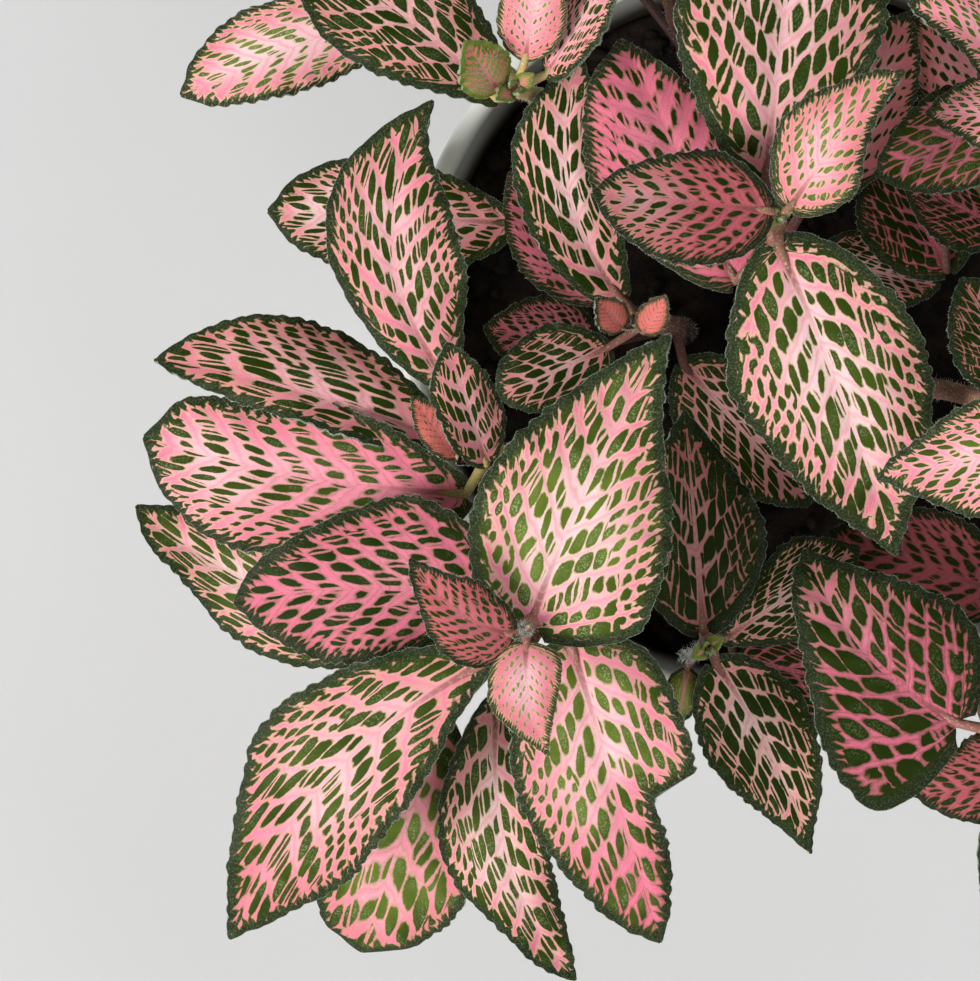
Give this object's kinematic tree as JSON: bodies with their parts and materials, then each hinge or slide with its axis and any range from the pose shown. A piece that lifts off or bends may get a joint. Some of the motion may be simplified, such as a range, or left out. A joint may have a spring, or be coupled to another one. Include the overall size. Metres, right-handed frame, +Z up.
{
  "type": "potted nerve plant",
  "caption": "Small nerve plant with pink net-veined green leaves on creeping stems, growing in soil in a plain round white pot.",
  "frame": {"origin": "centre of the pot's flat foot, on the surface it stands on", "axes": "+Z up; -Y is the front, which is the bottom edge of the picture; +X is the picture's right"},
  "size_m": [0.2047, 0.2123, 0.1769],
  "materials": {
    "pot_glaze": "satin",
    "soil": "matte",
    "foliage": "matte"
  },
  "bodies": {
    "root": {"pot": "pot_glaze", "potting_soil": "soil", "front_left_shoot": "foliage", "left_shoot": "foliage", "back_left_shoot": "foliage", "inner_left_shoot": "foliage", "front_shoot": "foliage", "front_right_shoot": "foliage", "centre_shoot": "foliage", "right_shoot": "foliage", "back_right_shoot": "foliage", "lower_right_shoot": "foliage", "far_right_shoot": "foliage", "far_back_right_shoot": "foliage", "back_shoot": "foliage", "far_back_left_shoot": "foliage"}
  },
  "joints": []
}
